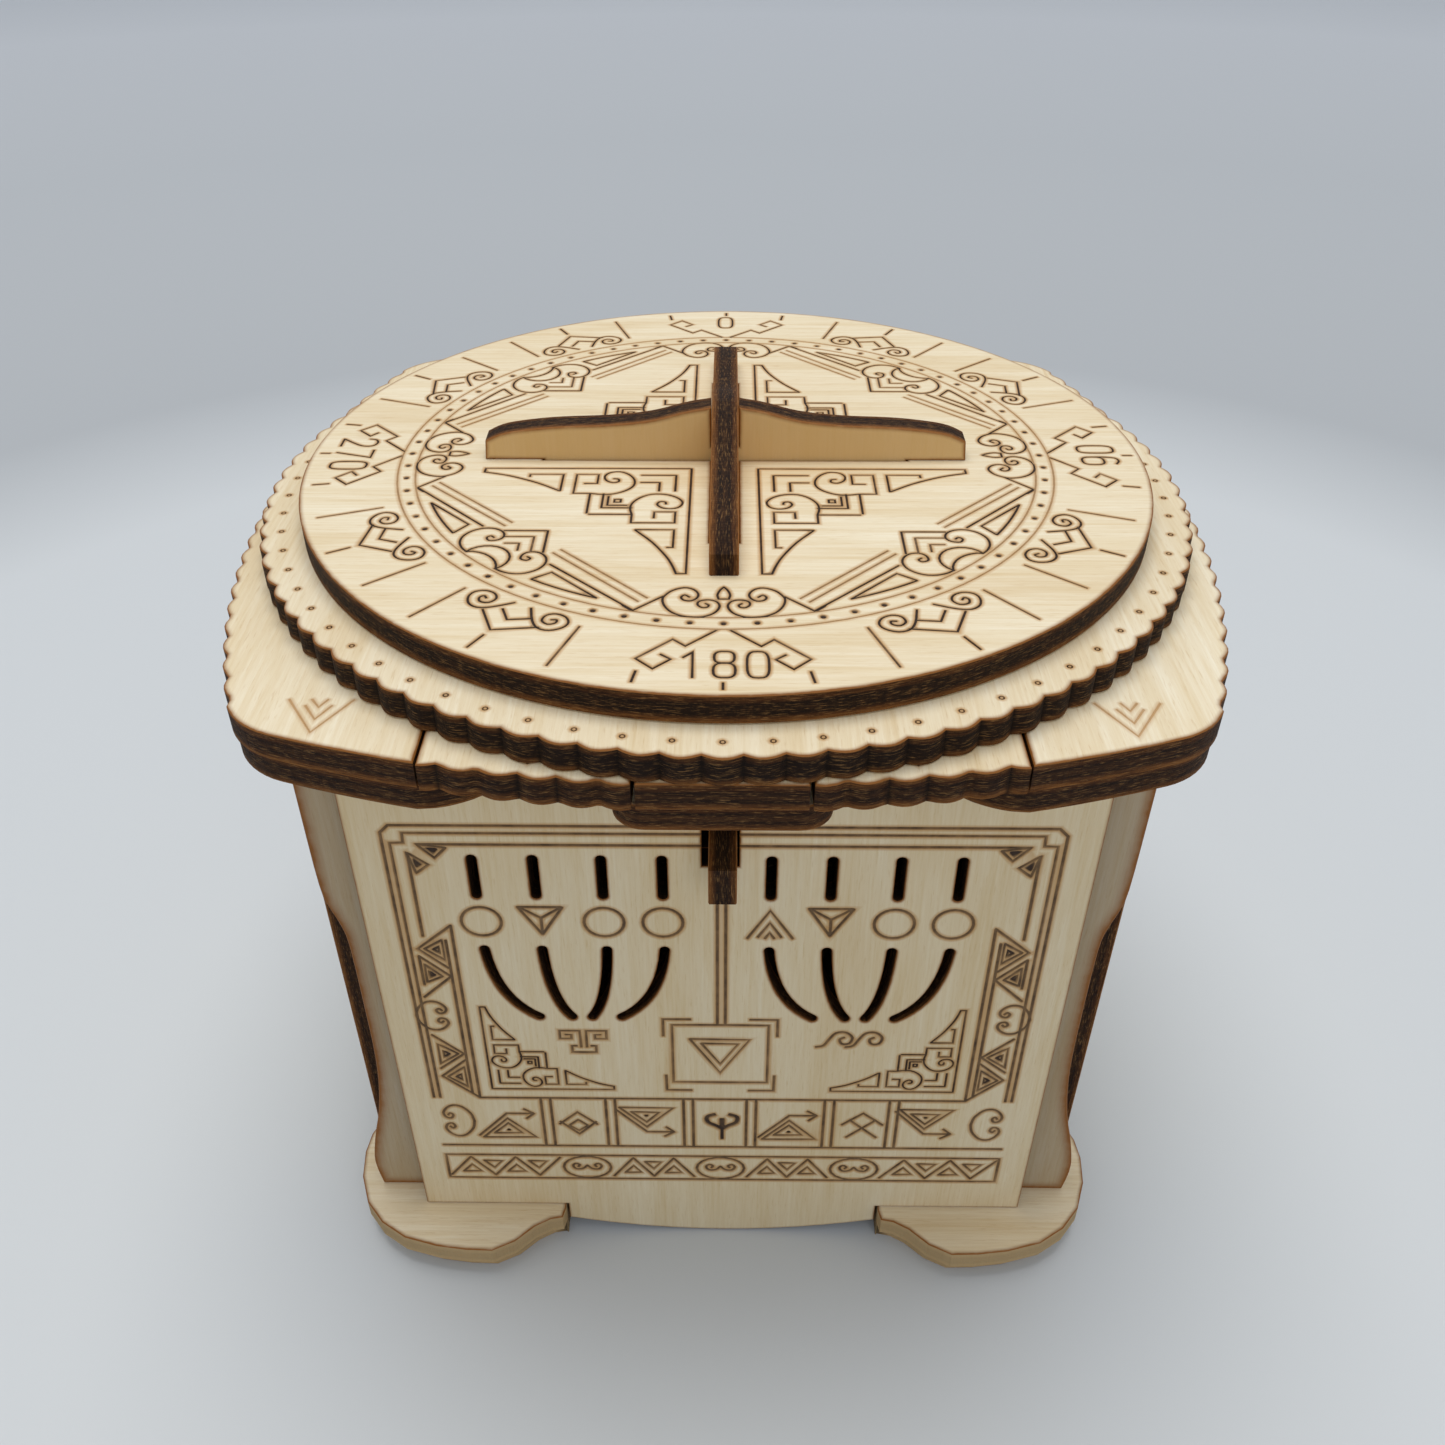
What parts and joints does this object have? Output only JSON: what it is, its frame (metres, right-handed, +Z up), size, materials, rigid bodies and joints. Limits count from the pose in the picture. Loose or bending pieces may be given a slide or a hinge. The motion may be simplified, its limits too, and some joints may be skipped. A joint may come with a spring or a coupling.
{
  "type": "wooden puzzle box",
  "caption": "Plywood puzzle box with a hinged lid, a rotary degree dial with a cross handle, a scalloped ring and pull-out lid pieces.",
  "frame": {"origin": "centre of the object's box at the table, which is on the dial's axis", "axes": "+Z up, -Y towards the front panel with the latch, +X to the right seen from the front"},
  "size_m": [0.11, 0.1062, 0.1066],
  "materials": {
    "birch_ply": "raw birch plywood, laser-engraved, with burnt brown edges",
    "inner_ply": "raw birch plywood with burnt brown edges",
    "steel_pin": "plain steel wire"
  },
  "bodies": {
    "box": {"foot_lower": "inner_ply", "foot_upper": "birch_ply", "front_panel": "birch_ply", "front_frame": "inner_ply", "back_panel": "birch_ply", "back_frame": "inner_ply", "left_panel": "birch_ply", "right_panel": "birch_ply", "left_lining": "inner_ply", "right_lining": "inner_ply", "bolt_guide_left": "inner_ply", "bolt_guide_right": "inner_ply", "bolt_bridge": "inner_ply", "bolt_rest": "inner_ply", "hinge_ear_left_outer": "inner_ply", "hinge_ear_left_inner": "inner_ply", "hinge_ear_right_outer": "inner_ply", "hinge_ear_right_inner": "inner_ply", "hinge_pin_left": "steel_pin", "hinge_pin_right": "steel_pin"},
    "lid": {"lid_plate": "birch_ply", "lid_deck": "birch_ply", "lid_ear_left": "inner_ply", "lid_ear_right": "inner_ply", "stop_left": "inner_ply", "stop_right": "inner_ply", "stop_catch": "inner_ply"},
    "dial": {"dial_disc": "birch_ply", "fin_across": "birch_ply", "fin_along": "birch_ply", "hub": "inner_ply", "hub_collar": "inner_ply", "cam_disc": "inner_ply"},
    "ring": {"scalloped_ring": "birch_ply"},
    "left_piece": {"slider_left": "birch_ply"},
    "right_piece": {"slider_right": "birch_ply"},
    "catch": {"catch_block": "birch_ply", "catch_tab": "birch_ply"},
    "bolt_body": {"bolt": "inner_ply"}
  },
  "joints": [
    {"name": "lid_hinge", "type": "hinge", "parent": "box", "child": "lid", "pos_m": [0, 0.041, 0.0835], "axis": [-1, 0, 0], "range_deg": [0, 100]},
    {"name": "dial_turn", "type": "hinge", "parent": "lid", "child": "dial", "pos_m": [0, 0, 0.097], "axis": [0, 0, 1], "continuous": true},
    {"name": "ring_turn", "type": "hinge", "parent": "lid", "child": "ring", "pos_m": [0, 0, 0.0938], "axis": [0, 0, 1], "continuous": true},
    {"name": "left_pull", "type": "slide", "parent": "lid", "child": "left_piece", "axis": [0, -1, 0], "range_m": [0, 0.008]},
    {"name": "right_pull", "type": "slide", "parent": "lid", "child": "right_piece", "axis": [0, -1, 0], "range_m": [0, 0.008]},
    {"name": "catch_pull", "type": "slide", "parent": "lid", "child": "catch", "axis": [0, -1, 0], "range_m": [0, 0.005]},
    {"name": "bolt_lift", "type": "slide", "parent": "box", "child": "bolt_body", "axis": [0, 0, 1], "range_m": [0, 0.005]}
  ]
}
